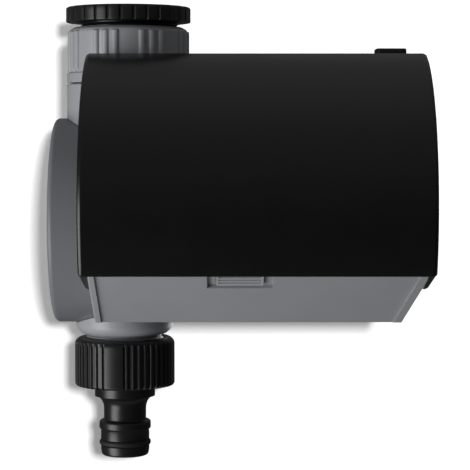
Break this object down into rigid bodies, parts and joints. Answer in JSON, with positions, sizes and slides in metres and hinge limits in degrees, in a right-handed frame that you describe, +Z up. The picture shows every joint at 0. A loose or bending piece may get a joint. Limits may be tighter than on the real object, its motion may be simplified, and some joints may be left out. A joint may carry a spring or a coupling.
{
  "type": "tap-mounted irrigation controller",
  "caption": "Tap-mounted irrigation timer: swivel inlet nut, pilot-operated diaphragm valve, hose nozzle, and a lidded box with display, keys and batteries.",
  "frame": {"origin": "centre of the inlet mouth, at the top face of the tap adapter", "axes": "+Z up along the water axis towards the tap, +X along the box, -Y towards the front where the lid opens"},
  "size_m": [0.122, 0.0993, 0.1513],
  "materials": {
    "body_grey": "satin",
    "nut_grey": "satin",
    "black_plastic": "satin",
    "lid_black": "satin gloss",
    "black_rubber": "matte",
    "white_plastic": "matte",
    "steel": "brushed",
    "copper": "enamelled",
    "clear": "clear",
    "lcd": "smooth",
    "board_green": "smooth",
    "key_grey": "satin",
    "key_blue": "satin",
    "red_plastic": "smooth",
    "cell_wrap": "gloss"
  },
  "bodies": {
    "housing": {"valve_body": "body_grey", "valve_cap": "body_grey", "cap_screws": "steel", "diaphragm": "black_rubber", "diaphragm_spring": "steel", "solenoid_tube": "steel", "solenoid_screws": "steel", "coil_bobbin": "black_plastic", "coil_winding": "copper", "coil_clip": "steel", "solenoid_core": "steel", "plunger_spring": "steel", "body_seal": "black_rubber", "valve_mount_screws": "steel", "nut_clip": "white_plastic", "inlet_seal": "black_rubber", "inlet_filter": "black_plastic", "filter_mesh": "steel", "front_case": "body_grey", "rear_case": "body_grey", "case_gasket": "black_rubber", "case_screws": "steel", "hinge_pins": "steel", "display_window": "clear", "lcd_panel": "lcd", "circuit_board": "board_green", "board_components": "black_plastic", "board_screws": "steel", "switches": "black_plastic", "status_led": "red_plastic", "battery_cells": "cell_wrap", "battery_contacts": "steel", "door_pin": "steel", "battery_wires": "red_plastic", "solenoid_wires": "copper", "sensor_socket": "black_plastic"},
    "swivel_nut": {"inlet_nut": "nut_grey"},
    "adapter_lift": {"tap_washer": "black_rubber"},
    "adapter": {"inlet_adapter": "black_plastic"},
    "connector_drop": {"outlet_washer": "black_rubber"},
    "connector": {"hose_connector": "black_plastic", "nozzle_ring": "black_rubber"},
    "valve_poppet": {"valve_disc": "white_plastic"},
    "solenoid_plunger": {"plunger": "steel", "plunger_seal": "black_rubber"},
    "lid": {"lid": "lid_black"},
    "latch": {"lid_latch": "nut_grey"},
    "key_mode": {"button_mode": "key_grey"},
    "key_set": {"button_set": "key_grey"},
    "key_minus": {"button_minus": "key_grey"},
    "key_plus": {"button_plus": "key_grey"},
    "key_manual": {"button_manual": "key_blue"},
    "battery_door": {"battery_door": "body_grey"},
    "sensor_plug": {"sensor_plug": "black_rubber"}
  },
  "joints": [
    {"name": "inlet_nut_spin", "type": "hinge", "parent": "housing", "child": "swivel_nut", "pos_m": [0, 0, -0.016], "axis": [0, 0, 1], "continuous": true},
    {"name": "adapter_rise", "type": "slide", "parent": "swivel_nut", "child": "adapter_lift", "axis": [0, 0, 1], "range_m": [0, 0.00693]},
    {"name": "adapter_turn", "type": "hinge", "parent": "adapter_lift", "child": "adapter", "pos_m": [0, 0, -0.008], "axis": [0, 0, 1], "range_deg": [0, 1080]},
    {"name": "connector_fall", "type": "slide", "parent": "housing", "child": "connector_drop", "axis": [0, 0, -1], "range_m": [0, 0.0127]},
    {"name": "connector_turn", "type": "hinge", "parent": "connector_drop", "child": "connector", "pos_m": [-0.0016, 0, -0.12], "axis": [0, 0, -1], "range_deg": [0, 2520]},
    {"name": "diaphragm_lift", "type": "slide", "parent": "housing", "child": "valve_poppet", "axis": [-1, 0, 0], "range_m": [0, 0.003], "stiffness_N_per_m": 300, "springref_m": -0.002, "deforming": ["diaphragm", "diaphragm_spring"]},
    {"name": "plunger_lift", "type": "slide", "parent": "housing", "child": "solenoid_plunger", "axis": [1, 0, 0], "range_m": [0, 0.0018], "stiffness_N_per_m": 200, "springref_m": -0.001, "deforming": ["plunger_spring"]},
    {"name": "lid_hinge", "type": "hinge", "parent": "housing", "child": "lid", "pos_m": [0.0429, -0.028, -0.0222], "axis": [-1, 0, 0], "range_deg": [0, 100]},
    {"name": "latch_press", "type": "slide", "parent": "housing", "child": "latch", "axis": [0, 0.4848, 0.8746], "range_m": [0, 0.001], "stiffness_N_per_m": 800, "springref_m": -0.0005},
    {"name": "key_mode_press", "type": "slide", "parent": "housing", "child": "key_mode", "axis": [0, 1, 0], "range_m": [0, 0.0008], "stiffness_N_per_m": 600, "springref_m": -0.0003},
    {"name": "key_set_press", "type": "slide", "parent": "housing", "child": "key_set", "axis": [0, 1, 0], "range_m": [0, 0.0008], "stiffness_N_per_m": 600, "springref_m": -0.0003},
    {"name": "key_minus_press", "type": "slide", "parent": "housing", "child": "key_minus", "axis": [0, 1, 0], "range_m": [0, 0.0008], "stiffness_N_per_m": 600, "springref_m": -0.0003},
    {"name": "key_plus_press", "type": "slide", "parent": "housing", "child": "key_plus", "axis": [0, 1, 0], "range_m": [0, 0.0008], "stiffness_N_per_m": 600, "springref_m": -0.0003},
    {"name": "key_manual_press", "type": "slide", "parent": "housing", "child": "key_manual", "axis": [0, 1, 0], "range_m": [0, 0.0008], "stiffness_N_per_m": 600, "springref_m": -0.0003},
    {"name": "battery_door_hinge", "type": "hinge", "parent": "housing", "child": "battery_door", "pos_m": [0.0655, 0.0218, -0.0902], "axis": [-1, 0, 0], "range_deg": [0, 110]},
    {"name": "sensor_plug_pull", "type": "slide", "parent": "housing", "child": "sensor_plug", "axis": [0, 0, 1], "range_m": [0, 0.012]}
  ],
  "couplings": [
    {"joint": "adapter_rise", "follows": "adapter_turn", "m_per_rad": 0.00036749},
    {"joint": "connector_fall", "follows": "connector_turn", "m_per_rad": 0.00028871}
  ]
}
